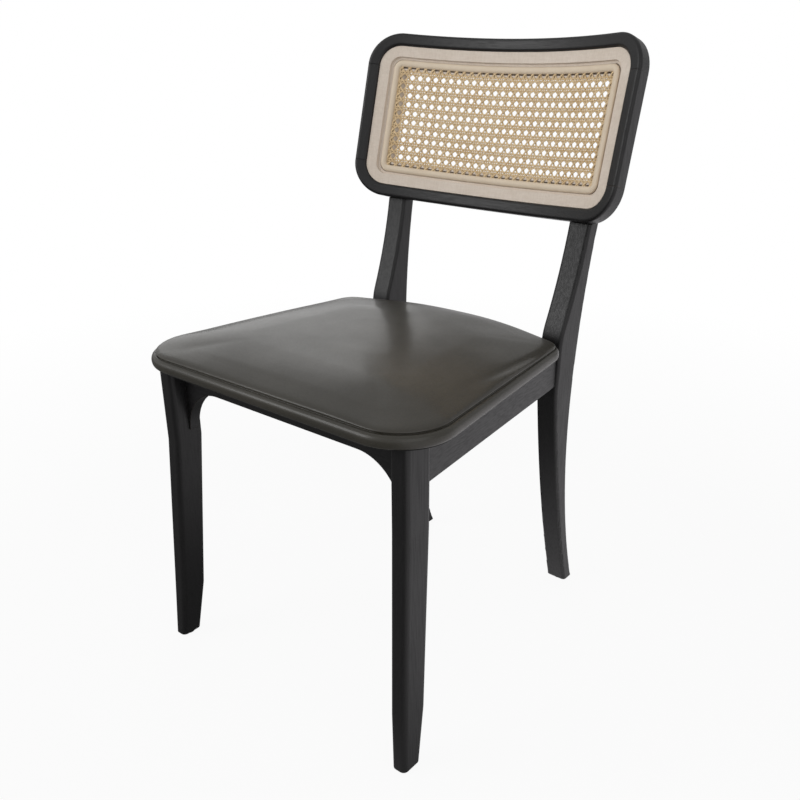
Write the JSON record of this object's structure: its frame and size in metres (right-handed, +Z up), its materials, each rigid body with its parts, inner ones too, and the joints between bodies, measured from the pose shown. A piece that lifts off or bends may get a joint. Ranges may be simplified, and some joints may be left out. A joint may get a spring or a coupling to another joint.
{
  "type": "cane back dining chair",
  "caption": "Armless dining chair with a curved cane back in a rounded black wood frame and a leather seat pad.",
  "frame": {"origin": "on the floor, below the centre of the chair's outline", "axes": "+Z up; +X to the sitter's left, the chair's right as seen from the front; -Y is the front of the seat"},
  "size_m": [0.4764, 0.5452, 0.8274],
  "materials": {
    "frame_wood": "ebonised satin lacquer",
    "border_wood": "pale clear lacquer",
    "block_wood": "bare beech",
    "fastener_steel": "zinc plated",
    "glide_plastic": "matte",
    "cane": "woven natural cane",
    "reed": "natural reed",
    "plywood": "bare birch plywood",
    "leather": "semi-matte grained",
    "foam": "open cell foam",
    "dust_cloth": "spunbond cloth"
  },
  "bodies": {
    "root": {"front_leg_right": "frame_wood", "front_leg_left": "frame_wood", "front_rail": "frame_wood", "side_rail_right": "frame_wood", "side_rail_left": "frame_wood", "back_rail": "frame_wood", "back_leg_right": "frame_wood", "back_leg_left": "frame_wood", "back_top_rail": "frame_wood", "back_bottom_rail": "frame_wood", "back_stile_left": "frame_wood", "back_stile_right": "frame_wood", "cane_frame_top": "border_wood", "cane_frame_bottom": "border_wood", "cane_frame_left": "border_wood", "cane_frame_right": "border_wood", "corner_block_front_right": "block_wood", "corner_block_front_left": "block_wood", "corner_block_back_right": "block_wood", "corner_block_back_left": "block_wood", "back_dowels": "block_wood", "block_screws": "fastener_steel", "seat_screws": "fastener_steel", "post_screws": "fastener_steel", "dust_cover_staples": "fastener_steel", "glide_front_right": "glide_plastic", "glide_front_left": "glide_plastic", "glide_back_right": "glide_plastic", "glide_back_left": "glide_plastic", "cane_panel": "cane", "cane_spline": "reed", "seat_board": "plywood", "seat_band": "leather", "seat_cover": "leather", "seat_foam": "foam", "dust_cover": "dust_cloth"}
  },
  "joints": []
}
